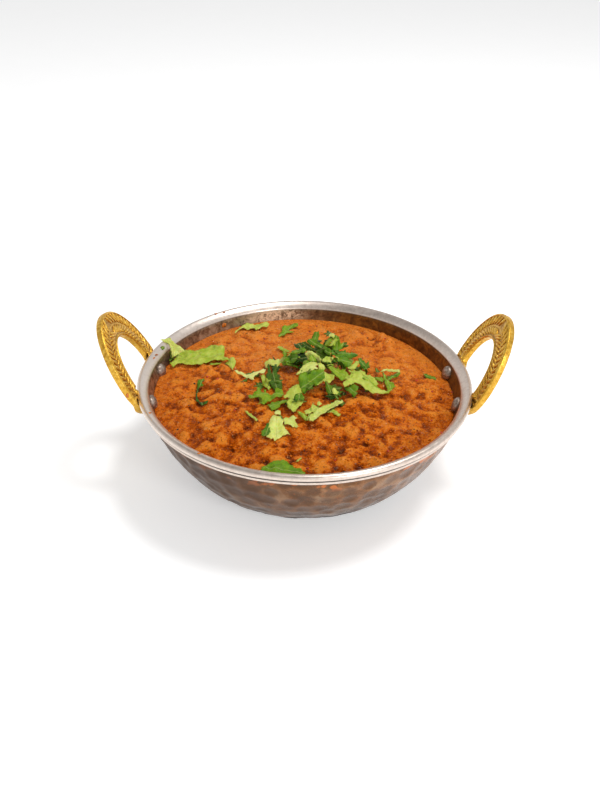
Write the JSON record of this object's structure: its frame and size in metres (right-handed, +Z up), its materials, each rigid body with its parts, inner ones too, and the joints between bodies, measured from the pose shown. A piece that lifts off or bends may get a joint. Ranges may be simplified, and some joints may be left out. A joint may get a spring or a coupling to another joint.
{
  "type": "mutton keema in a karahi bowl",
  "caption": "Minced mutton curry with chopped coriander, served in a small round steel and hammered copper karahi with brass loop handles.",
  "frame": {"origin": "middle of the bowl's flat base, on the surface that it rests on", "axes": "+Z up, +X towards one handle, +Y across the handles, away from the picture's camera"},
  "size_m": [0.1932, 0.16, 0.0819],
  "materials": {
    "steel": "stainless steel, worn satin",
    "copper": "hammered copper, brown with age",
    "brass": "cast brass, polished edges",
    "curry": "oily minced meat in thick sauce",
    "leaf_dark": "fresh coriander, upper faces",
    "leaf_light": "fresh coriander, pale undersides"
  },
  "bodies": {
    "root": {"copper_jacket": "copper", "steel_liner": "steel", "handle_right": "brass", "handle_left": "brass", "rivet_right_front": "steel", "rivet_right_back": "steel", "rivet_left_back": "steel", "rivet_left_front": "steel", "keema_curry": "curry", "coriander_heap": "leaf_dark", "coriander_loop_leaf": "leaf_dark", "coriander_fan_leaf": "leaf_light", "coriander_rolled_leaf": "leaf_light", "coriander_thin_sliver": "leaf_light", "coriander_stem_bit": "leaf_light", "coriander_back_leaf": "leaf_dark", "coriander_back_strip": "leaf_light", "coriander_rim_leaf": "leaf_light", "coriander_rim_crumb": "leaf_light", "coriander_curled_sliver": "leaf_dark", "coriander_front_leaf": "leaf_dark", "coriander_right_leaf": "leaf_dark"}
  },
  "joints": []
}
